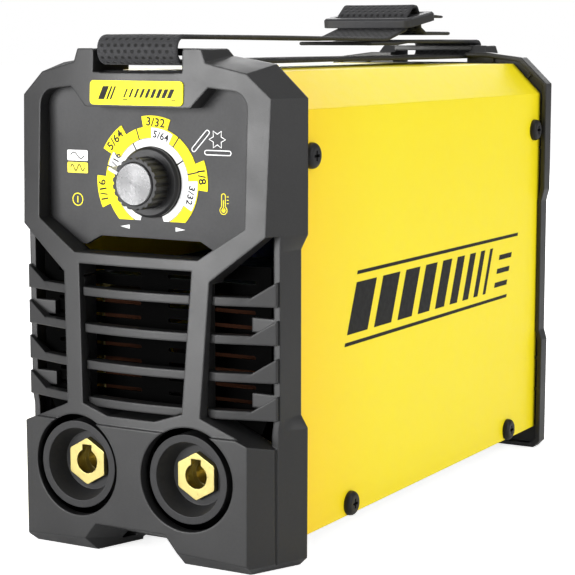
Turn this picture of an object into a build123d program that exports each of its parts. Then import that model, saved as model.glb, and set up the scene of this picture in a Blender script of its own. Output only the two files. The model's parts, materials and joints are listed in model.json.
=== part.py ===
from build123d import *
import math
import os

# Small inverter stick welder. Millimetres, +Z up, front toward -Y, origin on the ground under the middle.

# ---- driving dimensions -------------------------------------------------------------------------
FACE_Y = -130.5           # side edges of the front bezel
BEZEL_NOSE_Y = -135.0     # middle of the bezel's convex face
BLOCK_NOSE_Y = -139.8     # middle of the socket block's convex face
RIM_Y = 112.0             # each end cover stops this far from the middle
REAR_LIP_Y = 118.5        # the rear skirt stays full width as far as here
REAR_WALL_Y = 133.5       # outside of the rear wall
WALL = 2.6                # moulded wall
LEAN_DEG = 2.8            # the bezel leans back this much
LEAN_PIVOT_Z = 123.0

HOUSING_W = 57.0          # half width of the sheet cover
HOUSING_Z0 = 10.0
HOUSING_Z1 = 180.5
HOUSING_CHAMFER = 13.5
SHEET = 1.0
HOUSING_REAR_Y = 113.9
SPIGOT_W = 55.8           # half width of the end covers' inner spigots
SPIGOT_WALL = 2.4
SPIGOT_LEN = 15.5
TRAY_Z0 = 10.4
TRAY_SHEET = 1.2
TRAY_FLANGE_Y = 94.0
TRAY_FLANGE_Z = 24.0
TRAY_SCREW_X = 36.0
TRAY_SCREW_Y = 103.0

PANEL_Y = -124.2          # face of the recessed control panel
PANEL_THICK = 2.0
PANEL_SKIN = 0.5          # left in front of each lamp
SHELF_Z = 113.5           # top of the bar under the panel
STRAP_W = 35.0
STRAP_T = 1.6
STRAP_SLOT_W = 19.5       # half width of the bracket windows
LOOP_FRONT_Y = -126.5     # centres of the two end loops
LOOP_REAR_Y = 131.6
STRAP_LOW_Z = 183.5
STRAP_TOP_Z = 193.2
STRAP_REAR_Z = 190.8
SEWN_Z = 190.0
BUCKLE_Y, BUCKLE_Z = 61.0, 200.6
BUCKLE_TILT = 8.0
BRACKET_W = 28.7
BRACKET_Z = 188.8

KNOB_X, KNOB_Z = 1.2, 140.0
KNOB_R = 9.6
SKIRT_R = 13.0
KNOB_FRONT_Y = -136.4
SHAFT_R = 3.0
KNOB_REST_DEG = 155.0     # pointer angle at rest, from +X toward +Z

DIAL_CUT_Z = 125.7        # the scale's lower ends are cut level here
DIAL_FOIL = 0.3
DIAL_TABS = [(-6, 21), (70, 100), (123, 151), (176, 205)]    # degrees from +X toward +Z

SOCKET_X, SOCKET_Z = 24.5, 33.5
RECESS_R = 19.2
INSULATOR_R = 16.6
CONTACT_AF = 15.6         # across the flats of the brass hexagon
CONTACT_BORE_R = 4.65

LOUVRE_PITCH = 13.8
LOUVRE_TOP_Z = 99.0
LOUVRE_COUNT = 4
LOUVRE_T = 3.2
LOUVRE_HALF = 53.0

FAN_Z = 66.0
FAN_SIZE = 80.0
FAN_DEPTH = 25.0
FAN_BORE_R = 38.0
FAN_Y1 = REAR_WALL_Y - 3.0
FAN_Y0 = FAN_Y1 - FAN_DEPTH

SWITCH_X, SWITCH_Z = -27.0, 142.0
SWITCH_PIVOT_Y = 131.5
SWITCH_TILT = 8.0
ROCKER_LEN = 20.8
ROCKER_T = 5.5
GLAND_X, GLAND_Z = 27.0, 142.0
GLAND_BORE_R = 4.0

SCREW_UPPER_Z = 150.4
SCREW_LOWER_Z = 14.6
COVER_SCREWS = [(-104.3, SCREW_UPPER_Z), (106.8, SCREW_UPPER_Z), (-73.1, SCREW_LOWER_Z), (80.6, SCREW_LOWER_Z)]
HEAD_R = 4.8
THREAD_R = 2.0

SPIGOT_Z0 = TRAY_Z0 + TRAY_SHEET + 0.2
SPIGOT_Z1 = HOUSING_Z1 - SHEET - 0.2
LEG_BACK_Y = -132.0       # back of the two legs between bezel and block
BLOCK_BACK_Y = -122.0
FRONT_PLATE_TAB_Z = (62.6, 90.2)

FLOOR_Z = TRAY_Z0 + TRAY_SHEET
TRANSFORMER = (22.0, -54.0, FLOOR_Z + 28.0)
CHOKE = (-24.0, -54.0, FLOOR_Z + 28.1)
BOARD_Z = 98.0
BOARD_THICK = 1.6

CUT = 400.0               # larger than the whole object


# ---- drawing helpers ----------------------------------------------------------------------------
def along_x(sketch, x0, x1):
    """Extrude a sketch drawn in (y, z) from x0 to x1."""
    return extrude(Plane((x0, 0, 0), x_dir=(0, 1, 0), z_dir=(1, 0, 0)) * sketch, amount=x1 - x0)


def along_y(sketch, y0, y1):
    """Extrude a sketch drawn in (x, z) from y0 to y1."""
    return extrude(Plane((0, y1, 0), x_dir=(1, 0, 0), z_dir=(0, -1, 0)) * sketch, amount=y1 - y0)


def along_z(sketch, z0, z1):
    """Extrude a sketch drawn in (x, y) from z0 to z1."""
    return extrude(Plane((0, 0, z0)) * sketch, amount=z1 - z0)


def block(x0, x1, y0, y1, z0, z1):
    return Pos((x0 + x1) / 2, (y0 + y1) / 2, (z0 + z1) / 2) * Box(x1 - x0, y1 - y0, z1 - z0)


def rod_y(x, z, radius, y0, y1):
    return Pos(x, (y0 + y1) / 2, z) * Rot(90, 0, 0) * Cylinder(radius, y1 - y0)


def rod_x(y, z, radius, x0, x1):
    return Pos((x0 + x1) / 2, y, z) * Rot(0, 90, 0) * Cylinder(radius, x1 - x0)


def rod_z(x, y, radius, z0, z1):
    return Pos(x, y, (z0 + z1) / 2) * Cylinder(radius, z1 - z0)


def polygon(points):
    return make_face(Polyline(*points, close=True))


def mirrored(points):
    """A closed outline from its right-hand half, listed from the bottom to the top."""
    return polygon(points + [(-x, z) for x, z in reversed(points)])


def rounded(sketch, radius):
    return fillet(sketch.vertices(), radius)


def both_sides(shape):
    return shape + mirror(shape, about=Plane.YZ)


# ---- end covers ---------------------------------------------------------------------------------
def skirt_outline(bottom_w, side_w, waist_w, corner, crown, inset=0.0):
    """Cross-section of an end cover: side, waist beside the louvres, sloped corner and crowned top."""
    corner_x, corner_z = corner
    crown_x, crown_z = crown
    d = inset
    return [
        (bottom_w - d, d), (bottom_w + 3.0 - d, 3.0 + d),
        (bottom_w + 3.2 - d, 51.8 - d * 0.4), (waist_w - d, 56.4), (waist_w - d, 117.2),
        (side_w - d, 122.6 + d * 0.4), (side_w - d, 171.4 - d * 0.4),
        (corner_x - d * 0.6, corner_z - d), (crown_x, crown_z - d),
    ]


def front_section(t, inset=0.0):
    """Section of the front skirt: t = 0 at the nose plane, 1 at the rim."""
    def mix(a, b):
        return a + (b - a) * t
    return mirrored(skirt_outline(mix(44.7, 57.0), mix(49.9, 60.2), mix(53.4, 57.4),
                                  (mix(43.1, 47.3), mix(178.0, 183.3)), (mix(28.0, 30.1), mix(182.7, 186.0)),
                                  inset))


def rear_section(shrink, inset=0.0):
    return mirrored(skirt_outline(57.4 - shrink, 60.6 - shrink, 59.2 - shrink, (48.0 - shrink * 0.6, 183.4 - shrink),
                                  (30.1, 185.6 - shrink), inset))


def section_at(sketch, y):
    return Plane((0, y, 0), x_dir=(1, 0, 0), z_dir=(0, -1, 0)) * sketch


def front_skirt(y0, y1, inset=0.0):
    nose = BLOCK_NOSE_Y - 0.2
    span = -RIM_Y - nose
    faces = [section_at(front_section((y - nose) / span, inset), y) for y in (y0, y1)]
    return loft(faces, ruled=True)


def bezel_window():
    """Opening in the bezel over the control panel, with the label bar dipping into it."""
    face = mirrored([(27.2, SHELF_Z), (45.4, 125.4), (45.4, 173.3), (30.0, 175.0), (22.9, 167.6)])
    upper = [corner for corner in face.vertices() if abs(corner.X) > 40 and corner.Y > 170]
    return fillet(upper, 6.5)


def bezel_front_cutter():
    """Everything in front of the convex, leaning face of the bezel."""
    radius = 319.0
    circle = Pos(0, BEZEL_NOSE_Y + radius) * Circle(radius)
    outside = Pos(0, BEZEL_NOSE_Y - 20) * Rectangle(160, 60) - circle
    tool = along_z(outside, 50, 215)
    pivot = Pos(0, BEZEL_NOSE_Y, LEAN_PIVOT_Z)
    return pivot * Rot(-LEAN_DEG, 0, 0) * pivot.inverse() * tool


def block_front_cutter():
    radius = 411.0
    circle = Pos(0, BLOCK_NOSE_Y + radius) * Circle(radius)
    outside = Pos(0, BLOCK_NOSE_Y - 20) * Rectangle(160, 60) - circle
    return along_z(outside, -10, 62)


def block_outline(inset=0.0):
    """Front view of the socket block: two peaks over the sockets and a valley between them."""
    side = 54.0 - inset
    return mirrored([(side, -2.0 + inset), (side, 45.5 - inset), (48.8 - inset, 48.2 - inset),
                     (27.0, 57.5 - inset), (22.6, 57.5 - inset), (10.4, 53.6 - inset)])


def foot_notch(grow=0.0):
    """Tapering notch under the middle of the front cover, between its two feet."""
    front = mirrored([(23.5 + grow, -4.0), (21.0 + grow, 6.2), (15.6 + grow * 0.7, 12.7 + grow)])
    rear = mirrored([(13.5 + grow, -4.0), (12.5 + grow, 1.0), (11.5 + grow * 0.7, 1.6 + grow)])
    return loft([section_at(front, BLOCK_NOSE_Y - 1), section_at(rear, -RIM_Y + 0.5)], ruled=True)


def bracket_rib(y0, y1):
    """One upright of a strap bracket, with its far end sloping down."""
    front = rounded(polygon([(28.7, 178.0), (28.7, 184.0), (27.0, BRACKET_Z), (19.9, BRACKET_Z), (16.3, 180.0),
                             (16.3, 178.0)]), 0.8)
    rib = along_y(front, y0, y1)
    side = polygon([(y0 - 1, 170), (y0 - 1, 200), (y1 - 4, 200), (y1 - 4, BRACKET_Z), (y1, 184.5), (y1, 170)])
    return rib & along_x(side, 0, 60)


def strap_window(z0=180.0):
    """Window that the strap passes through, wider at its top."""
    return mirrored([(16.3, z0), (STRAP_SLOT_W, 186.2)])


def spigot(y0, y1):
    """Ring that slips inside the sheet cover."""
    outer = polygon_housing(SPIGOT_W, SPIGOT_Z0, SPIGOT_Z1)
    return along_y(outer, y0, y1) - along_y(spigot_bore(), y0 - 1, y1 + 1)


def spigot_bore():
    return polygon_housing(SPIGOT_W - SPIGOT_WALL, SPIGOT_Z0 + SPIGOT_WALL, SPIGOT_Z1 - SPIGOT_WALL)


def polygon_housing(half, z0, z1):
    """Section of the sheet cover's envelope at a given half width."""
    chamfer = HOUSING_CHAMFER - (HOUSING_W - half) * 0.41
    return mirrored([(half, z0), (half, z1 - chamfer), (half - chamfer, z1)])


def screw_bosses(y):
    """Threaded bosses inside a spigot for the two upper cover screws."""
    boss = rod_x(y, SCREW_UPPER_Z, 5.0, SPIGOT_W - 9.0, SPIGOT_W - 0.4)
    return both_sides(boss)


def screw_holes(y, z, radius):
    hole = rod_x(y, z, radius, SPIGOT_W - 12.0, SPIGOT_W + 10.0)
    return both_sides(hole)


def tray_screw_places(side):
    return [(x, side * TRAY_SCREW_Y) for x in (-TRAY_SCREW_X, TRAY_SCREW_X)]


def make_front_cover():
    nose = BLOCK_NOSE_Y - 0.2
    outer = front_skirt(nose, -RIM_Y)
    # bezel ring, its two legs and the label bar
    ring = mirrored([(29.1, 50.0), (32.1, 106.0), (53.4, 122.8), (66.0, 122.8), (66.0, 205.0)])
    centre_gap = mirrored([(21.1, 40.0), (24.9, SHELF_Z - 4.0)])
    bezel = along_y(ring - bezel_window() - centre_gap, nose, PANEL_Y)
    bezel = bezel & outer
    bezel -= block(-34, 34, LEG_BACK_Y, PANEL_Y + 1, 40, 105)
    # socket block, hollow behind, with the foot notch walled off
    socket_block = along_y(block_outline(), nose, BLOCK_BACK_Y) & outer
    room = block_outline(WALL) & Pos(0, 34) * Rectangle(89, 60)
    socket_block -= along_y(room, BLOCK_NOSE_Y + 4.6, BLOCK_BACK_Y + 1) - foot_notch(2.2)
    # side walls and roof behind the bezel, with a web that closes onto the spigot
    walls = outer & block(-80, 80, PANEL_Y, -RIM_Y, -5, 200)
    walls -= front_skirt(PANEL_Y - 1, -RIM_Y - 4.0, WALL)
    walls -= along_y(spigot_bore(), -RIM_Y - 5, -RIM_Y + 1)
    body = bezel + socket_block + walls + spigot(-RIM_Y - 2, -RIM_Y + SPIGOT_LEN)
    for z in FRONT_PLATE_TAB_Z:
        body += both_sides(block(44.0, 54.0, PANEL_Y, -121.7, z - 2.6, z + 2.6))
    for x, z in front_plate_places():
        body -= rod_y(x, z, 1.6, PANEL_Y + 0.8, -121)
    body += both_sides(bracket_rib(nose, -RIM_Y + 3.5))
    body += block(-20.5, 20.5, -125.5, -115.5, 186.2, BRACKET_Z)
    # strap window through the bracket, then the fronts
    body -= along_y(strap_window(), nose - 1, -126)
    body -= block(-STRAP_SLOT_W, STRAP_SLOT_W, -126, -RIM_Y + 6, 180.6, 186.2)
    body -= block(-STRAP_SLOT_W, STRAP_SLOT_W, nose - 1, -125.5, 180.2, 200)
    body -= block(-STRAP_SLOT_W, STRAP_SLOT_W, -115.5, -RIM_Y + 6, 180.6, 200)
    body -= block(-60, 60, -RIM_Y + 0.1, -RIM_Y + 8, HOUSING_Z1 - SHEET - 0.1, HOUSING_Z1 + 0.2)
    body -= bezel_front_cutter()
    body -= block_front_cutter()
    # sockets, feet and front lower edge
    body -= both_sides(rod_y(SOCKET_X, SOCKET_Z, RECESS_R, nose - 1, -RIM_Y - 12))
    body -= foot_notch()
    edge = polygon([(nose - 2, -2), (nose - 2, 8.2), (nose + 9.5, -1.5)])
    body -= along_x(edge, -70, 70)
    body += screw_bosses(COVER_SCREWS[0][0])
    body -= screw_holes(COVER_SCREWS[0][0], SCREW_UPPER_Z, THREAD_R)
    for x, y in tray_screw_places(-1):
        body -= rod_z(x, y, THREAD_R, 5, 30)
    return body


def louvre_curve(x):
    """How far forward the louvre fronts stand at x."""
    return -136.0 + x * x / 280.0


def louvre_slat():
    """Plan of one bar: convex front, flatter back."""
    half = LOUVRE_HALF
    front = [(x, louvre_curve(x)) for x in (-half, -half / 2, 0, half / 2, half)]
    tip_y = louvre_curve(half)
    back = ThreePointArc((half, tip_y + 3.6), (0, louvre_curve(0) + 5.6), (-half, tip_y + 3.6))
    return make_face(Wire([Spline(*front), Line(front[-1], (half, tip_y + 3.6)), back,
                           Line((-half, tip_y + 3.6), front[0])]))


def louvre_wedge():
    """Upturned triangular end of a bar, standing on the bar's underside."""
    front_view = along_y(polygon([(41.0, 0.0), (55.2, 9.0), (55.2, 0.0)]), -131.0, PANEL_Y - 0.2)
    plan = polygon([(40.5, louvre_curve(40.5)), (55.2, louvre_curve(53.0)), (55.2, PANEL_Y - 0.2),
                    (40.5, PANEL_Y - 0.2)])
    return front_view & along_z(plan, -1, 12)


def make_louvre_grille():
    """Curved bars with a raised wedge at each end, tied by two ribs behind the bezel's legs."""
    ends = both_sides(louvre_wedge())
    body = both_sides(block(24.6, 28.4, LEG_BACK_Y + 0.2, PANEL_Y - 0.2, 57.0, 104.0))
    for row in range(LOUVRE_COUNT):
        z = LOUVRE_TOP_Z - row * LOUVRE_PITCH - LOUVRE_T / 2
        body += along_z(louvre_slat(), z, z + LOUVRE_T)
        body += Pos(0, 0, z) * ends
    # relieved behind each leg, and clear of the socket block below
    legs = along_y(mirrored([(33.0, 40.0), (33.0, 112.0)]) - mirrored([(20.2, 30.0), (24.2, 113.0)]), -141,
                   LEG_BACK_Y + 0.1)
    return body - legs - along_y(block_outline(-0.25), -141, BLOCK_BACK_Y + 0.2)


def make_rear_cover():
    tail = loft([section_at(rear_section(0), REAR_LIP_Y), section_at(rear_section(7.0), REAR_WALL_Y)], ruled=True)
    outer = along_y(rear_section(0), RIM_Y, REAR_LIP_Y) + tail
    lip_wall = 1.9
    cavity = along_y(rear_section(0, lip_wall), RIM_Y - 1, REAR_LIP_Y)
    deep = loft([section_at(rear_section(0, WALL), REAR_LIP_Y - 2.0),
                 section_at(rear_section(5.4, WALL), REAR_WALL_Y - 3.0)], ruled=True)
    body = outer - cavity - deep
    # web from the skirt to the spigot, behind the sheet cover's edge
    web_y = HOUSING_REAR_Y + 0.6
    web = along_y(rear_section(0, 1.0), web_y, web_y + 2.2) - along_y(spigot_bore(), web_y - 1, web_y + 4)
    body += web
    body += spigot(RIM_Y - SPIGOT_LEN, web_y + 1)
    body += spacer_ribs(web_y)
    # strap bracket, a mirror of the front one
    upright = mirror(bracket_rib(-REAR_WALL_Y + 3.0, -115.6), about=Plane.XZ)
    body += both_sides(upright)
    body += block(-20.5, 20.5, 117.5, 127.5, 186.5, BRACKET_Z)
    body -= along_y(strap_window(181.0), 115.0, 140.0)
    body -= block(-STRAP_SLOT_W, STRAP_SLOT_W, RIM_Y - 1, 117.5, 181.0, 200)
    body -= block(-STRAP_SLOT_W, STRAP_SLOT_W, 127.5, 140.0, 181.0, 200)
    body -= block(-STRAP_SLOT_W, STRAP_SLOT_W, 116.5, 128.5, 181.0, 186.5)
    channel = block(-STRAP_SLOT_W - 2, STRAP_SLOT_W + 2, web_y, REAR_WALL_Y - 4, 178.6, 181.0)
    body += channel
    # openings in the rear wall
    body -= rod_y(0, FAN_Z, FAN_BORE_R - 0.6, REAR_WALL_Y - 6, REAR_WALL_Y + 1)
    body -= block(SWITCH_X - 9.3, SWITCH_X + 9.3, REAR_WALL_Y - 6, REAR_WALL_Y + 1, SWITCH_Z - 13.8,
                  SWITCH_Z + 13.8)
    body -= rod_y(GLAND_X, GLAND_Z, 8.1, REAR_WALL_Y - 6, REAR_WALL_Y + 1)
    for x, z in fan_screw_places():
        body -= rod_y(x, z, 2.2, REAR_WALL_Y - 6, REAR_WALL_Y + 1)
    body += screw_bosses(COVER_SCREWS[1][0])
    body -= screw_holes(COVER_SCREWS[1][0], SCREW_UPPER_Z, THREAD_R)
    for x, y in tray_screw_places(1):
        body -= rod_z(x, y, THREAD_R, 5, 30)
    return body


def spacer_ribs(web_y):
    """Thin ribs that keep the rear skirt off the sheet cover."""
    y0 = RIM_Y + 0.6
    length = web_y + 0.5 - y0
    middle = (y0 + web_y + 0.5) / 2
    ribs = Pos(51.7, middle, 175.2) * Rot(0, 45, 0) * Box(1.2, length, 3.4)
    ribs += Pos(33.0, middle, HOUSING_Z1 + 1.9) * Box(1.2, length, 3.4)
    for z in (28.0, 43.0, 142.0):
        ribs += Pos(HOUSING_W + 1.4, middle, z) * Box(2.4, length, 1.2)
    return both_sides(ribs)


# ---- sheet metal --------------------------------------------------------------------------------
def make_housing_cover():
    front = -RIM_Y + 0.5
    outer = polygon_housing(HOUSING_W, HOUSING_Z0, HOUSING_Z1)
    inner = polygon_housing(HOUSING_W - SHEET, HOUSING_Z0 - 5, HOUSING_Z1 - SHEET)
    cover = along_y(outer, front, HOUSING_REAR_Y) - along_y(inner, front - 1, HOUSING_REAR_Y + 1)
    for y, z in COVER_SCREWS:
        cover -= screw_holes(y, z, THREAD_R + 0.25)
    return cover


def make_base_tray():
    floor = block(-SPIGOT_W, SPIGOT_W, -RIM_Y + 1, RIM_Y - 1, TRAY_Z0, TRAY_Z0 + TRAY_SHEET)
    flange = block(SPIGOT_W - TRAY_SHEET, SPIGOT_W, -TRAY_FLANGE_Y, TRAY_FLANGE_Y, TRAY_Z0, TRAY_FLANGE_Z)
    tray = floor + both_sides(flange)
    for y, z in COVER_SCREWS[2:]:
        tray -= screw_holes(y, z, THREAD_R)
    for side in (-1, 1):
        for x, y in tray_screw_places(side):
            tray -= rod_z(x, y, THREAD_R + 0.25, 5, 20)
    for x in (-30, 0, 30):
        for y in range(-60, 80, 28):
            slot = Pos(x, y) * SlotOverall(22, 4)
            tray -= along_z(slot, TRAY_Z0 - 1, TRAY_Z0 + 3)
    for x, y in pillar_places():
        tray -= rod_z(x, y, 1.6, 5, 20)
    return tray


def pan_screw_x(y, z, shank):
    """Domed recess-head screw pointing inward from the right side."""
    head = rod_x(y, z, HEAD_R, HOUSING_W, HOUSING_W + 2.6)
    head = fillet(head.faces().sort_by(Axis.X)[-1].edges(), 1.9)
    recess = Box(6, 3.9, 1.1) + Box(6, 1.1, 3.9)
    head -= Pos(HOUSING_W + 4.1, y, z) * recess
    return head + rod_x(y, z, THREAD_R - 0.05, HOUSING_W - shank, HOUSING_W + 0.5)


def make_cover_screws():
    screws = [pan_screw_x(y, z, 8.0 if z > 50 else 5.0) for y, z in COVER_SCREWS]
    return Compound(children=screws + [mirror(screw, about=Plane.YZ) for screw in screws])


def make_tray_screws():
    screws = []
    for side in (-1, 1):
        for x, y in tray_screw_places(side):
            head = rod_z(x, y, 3.6, TRAY_Z0 - 2.0, TRAY_Z0)
            screws.append(head + rod_z(x, y, THREAD_R - 0.05, TRAY_Z0 - 0.5, TRAY_Z0 + 7.0))
    return Compound(children=screws)


def make_front_plate():
    """Black steel plate behind the louvres that carries the two sockets."""
    outline = mirrored([(44.0, 9.0), (44.0, 44.0), (50.5, 59.0), (50.5, 111.0)])
    plate = along_y(outline, -121.6, -120.4)
    for x in (-SOCKET_X, SOCKET_X):
        plate -= rod_y(x, SOCKET_Z, 12.6, -123, -119)
    for row in range(9):
        for x in (-25, 25):
            slot = Pos(x, 61.0 + row * 5.5) * SlotOverall(38, 1.6)
            plate -= along_y(slot, -123, -119)
    for x, z in front_plate_places():
        plate -= rod_y(x, z, 1.7, -123, -119)
    return plate


def front_plate_places():
    return [(x, z) for x in (-47.0, 47.0) for z in FRONT_PLATE_TAB_Z]


def make_front_plate_screws():
    screws = []
    for x, z in front_plate_places():
        head = rod_y(x, z, 2.8, -120.4, -118.6)
        screws.append(head + rod_y(x, z, 1.55, PANEL_Y + 0.9, -120.0))
    return Compound(children=screws)


# ---- control panel ------------------------------------------------------------------------------
def make_control_panel():
    outline = mirrored([(22.1, 119.0), (28.6, 115.6), (30.5, 115.6), (48.0, 127.0), (48.0, 168.5), (41.5, 176.5)])
    panel = along_y(outline, PANEL_Y, PANEL_Y + PANEL_THICK)
    panel -= rod_y(KNOB_X, KNOB_Z, 3.7, PANEL_Y - 1, PANEL_Y + 4)
    for x, z in led_places():
        panel -= rod_y(x, z, 1.55, PANEL_Y + PANEL_SKIN, PANEL_Y + 4)
    for x, z in control_board_places():
        panel += rod_y(x, z, 2.6, PANEL_Y + PANEL_THICK - 0.2, PANEL_Y + 11.0)
    return panel


def led_places():
    return [(-32.5, 132.3), (32.2, 132.2)]


def control_board_places():
    return [(x, z) for x in (-38.0, 38.0) for z in (134.0, 166.0)]


def ring_sector(r0, r1, start_deg, end_deg):
    """Flat ring sector about the knob, angles from +X toward +Z."""
    def at(radius, degrees):
        a = math.radians(degrees)
        return (KNOB_X + radius * math.cos(a), KNOB_Z + radius * math.sin(a))
    mid = (start_deg + end_deg) / 2
    outer = ThreePointArc(at(r1, start_deg), at(r1, mid), at(r1, end_deg))
    inner = ThreePointArc(at(r0, end_deg), at(r0, mid), at(r0, start_deg))
    sides = [Line(at(r1, end_deg), at(r0, end_deg)), Line(at(r0, start_deg), at(r1, start_deg))]
    return make_face(Wire([outer, sides[0], inner, sides[1]]))


def make_dial_scale():
    """Printed scale foil round the knob, with a raised tab for each setting."""
    scale = ring_sector(13.2, 20.4, -70, 250)
    for start, end in DIAL_TABS:
        scale += ring_sector(20.0, 24.4, start, end)
    scale -= Pos(KNOB_X, DIAL_CUT_Z - 10) * Rectangle(60, 20)
    return along_y(scale, PANEL_Y - DIAL_FOIL, PANEL_Y)


def make_range_marks():
    """Two small printed plates at the left of the panel."""
    plates = [along_y(rounded(Pos(-32.3, z) * Rectangle(9.4, 4.0), 0.5), PANEL_Y - 0.3, PANEL_Y)
              for z in (148.8, 144.2)]
    return Compound(children=plates)


def make_label_plate():
    """Thin curved plate on the label bar."""
    outline = rounded(Pos(0, 172.8) * Rectangle(40.6, 8.8), 1.6)
    plate = along_y(outline, -140, -128)
    pivot = Pos(0, BEZEL_NOSE_Y, LEAN_PIVOT_Z)

    def shell(radius, nose):
        disc = Pos(0, nose + radius) * Circle(radius)
        return pivot * Rot(-LEAN_DEG, 0, 0) * pivot.inverse() * along_z(disc, 150, 200)
    return (plate & shell(319.0, BEZEL_NOSE_Y - 0.6)) - shell(319.0, BEZEL_NOSE_Y)


def make_status_leds():
    lamps = []
    for x, z in led_places():
        lens = rod_y(x, z, 1.5, PANEL_Y + PANEL_SKIN + 0.1, PANEL_Y + 8.9)
        lamps.append(lens + rod_y(x, z, 2.1, PANEL_Y + 4.5, PANEL_Y + 8.9))
    return Compound(children=lamps)


def make_control_board():
    y0 = PANEL_Y + 11.0
    board = block(-42, 42, y0, y0 + BOARD_THICK, 121.5, 172)
    board -= rod_y(KNOB_X, KNOB_Z, 3.4, y0 - 1, y0 + 4)
    for x, z in ((-24, 160), (-24, 148), (22, 160)):
        board += block(x - 5, x + 5, y0 - 2.2, y0, z - 4, z + 4)
    board += block(10, 34, y0 + BOARD_THICK, y0 + BOARD_THICK + 7, 125, 132)
    return board


def fluted_profile(radius, depth, flutes):
    """A circle with shallow round grooves for the fingers."""
    profile = Circle(radius)
    groove = radius * math.pi / flutes * 0.52
    for i in range(flutes):
        a = 2 * math.pi * i / flutes
        centre = (math.cos(a) * (radius + groove - depth), math.sin(a) * (radius + groove - depth))
        profile -= Pos(*centre) * Circle(groove)
    return profile


def knob_pointer_slot(width, r0, r1, y0, y1):
    """A bar from r0 to r1 that points at the rest setting."""
    bar = along_y(Pos((r0 + r1) / 2, 0) * Rectangle(r1 - r0, width), y0, y1)
    return Pos(KNOB_X, 0, KNOB_Z) * Rot(0, -KNOB_REST_DEG, 0) * bar


def make_knob_body():
    y_panel = PANEL_Y - 0.8
    skirt = rod_y(KNOB_X, KNOB_Z, SKIRT_R, y_panel - 2.2, y_panel)
    skirt = chamfer(skirt.faces().sort_by(Axis.Y)[0].edges(), 0.9)
    grip = along_y(Pos(KNOB_X, KNOB_Z) * fluted_profile(KNOB_R, 0.55, 22), KNOB_FRONT_Y + 0.8, y_panel - 1.0)
    body = skirt + grip
    body -= rod_y(KNOB_X, KNOB_Z, 8.0, KNOB_FRONT_Y, KNOB_FRONT_Y + 1.2)
    body -= rod_y(KNOB_X, KNOB_Z, SHAFT_R, KNOB_FRONT_Y + 3.5, y_panel + 1)
    body -= knob_pointer_slot(1.3, 8.4, SKIRT_R + 1, KNOB_FRONT_Y, y_panel - 0.9)
    return body


def make_knob_cap():
    cap = rod_y(KNOB_X, KNOB_Z, 7.95, KNOB_FRONT_Y, KNOB_FRONT_Y + 1.2)
    return chamfer(cap.faces().sort_by(Axis.Y)[0].edges(), 0.4)


def make_knob_pointer():
    line = knob_pointer_slot(1.1, 8.5, SKIRT_R - 0.3, KNOB_FRONT_Y + 0.9, PANEL_Y - 1.8)
    return line


def make_pot_shaft():
    return rod_y(KNOB_X, KNOB_Z, SHAFT_R - 0.01, KNOB_FRONT_Y + 3.6, PANEL_Y + 13.0)


def make_pot_body():
    y0 = PANEL_Y + PANEL_THICK + 0.1
    body = rod_y(KNOB_X, KNOB_Z, 8.2, y0, y0 + 8.4)
    body += rod_y(KNOB_X, KNOB_Z, 3.5, PANEL_Y - 0.4, y0 + 0.1)
    body -= rod_y(KNOB_X, KNOB_Z, SHAFT_R + 0.05, PANEL_Y - 3, y0 + 12)
    for x in (-5, 0, 5):
        body += block(KNOB_X + x - 0.6, KNOB_X + x + 0.6, y0 + 3, y0 + 4, KNOB_Z - 14, KNOB_Z - 6.0)
    return body


def make_pot_nut():
    y1 = PANEL_Y
    nut = Pos(KNOB_X, y1 - 0.3, KNOB_Z) * Rot(90, 0, 0) * extrude(RegularPolygon(5.6, 6), amount=0.3, both=True)
    return nut - rod_y(KNOB_X, KNOB_Z, 3.55, y1 - 4, y1 + 1)


# ---- sockets ------------------------------------------------------------------------------------
def make_socket_insulator(x):
    """Cup-shaped insulator with a threaded neck through the front plate."""
    cup = rod_y(x, SOCKET_Z, INSULATOR_R, -137.4, -121.7)
    neck = rod_y(x, SOCKET_Z, 12.4, -122.0, -108.0)
    bowl = Pos(x, -133.5, SOCKET_Z) * Rot(90, 0, 0) * Cone(11.2, 13.9, 7.9)
    body = cup + neck - bowl
    body -= hexagon_y(x, SOCKET_Z, CONTACT_AF + 0.1, -134, -124.0)
    return body - rod_y(x, SOCKET_Z, 7.05, -125.0, -107.0)


def hexagon_y(x, z, across_flats, y0, y1):
    """Hexagonal prism along Y with a corner at the top."""
    sketch = Pos(x, z) * Rot(0, 0, 30) * RegularPolygon(across_flats / math.sqrt(3), 6)
    return along_y(sketch, y0, y1)


def make_socket_contact(x):
    """Brass contact: hexagonal head, keyed bore with a locking ramp, threaded tail."""
    head = hexagon_y(x, SOCKET_Z, CONTACT_AF, -132.0, -124.1)
    crown = Pos(x, -131.2, SOCKET_Z) * Rot(90, 0, 0) * Cone(10.6, 8.2, 3.0)
    head = head & (rod_y(x, SOCKET_Z, 12, -129.7, -124) + crown)
    body = head + rod_y(x, SOCKET_Z, 7.0, -124.2, -98.0)
    body -= rod_y(x, SOCKET_Z, CONTACT_BORE_R, -133, -112.0)
    body -= block(x - 2.1, x + 2.1, -133, -124.6, SOCKET_Z, SOCKET_Z + 6.4)
    body -= rod_y(x, SOCKET_Z, 6.4, -129.6, -124.6)
    return body


def make_socket_nuts():
    nuts = []
    for x in (-SOCKET_X, SOCKET_X):
        nuts.append(hexagon_y(x, SOCKET_Z, 22.0, -107.8, -103.8) - rod_y(x, SOCKET_Z, 7.05, -109, -102))
        nuts.append(hexagon_y(x, SOCKET_Z, 17.0, -101.4, -98.2) - rod_y(x, SOCKET_Z, 7.05, -102, -97))
    return Compound(children=nuts)


def make_bus_bars():
    """Copper straps from the sockets up to the power board."""
    bars = []
    for x in (-SOCKET_X, SOCKET_X):
        lug = block(x - 11, x + 11, -103.6, -101.6, SOCKET_Z - 11, 96.0)
        lug += block(x - 11, x + 11, -103.6, -88.0, 94.0, 96.0)
        bars.append(lug - rod_y(x, SOCKET_Z, 7.05, -105, -100))
    return Compound(children=bars)


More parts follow.
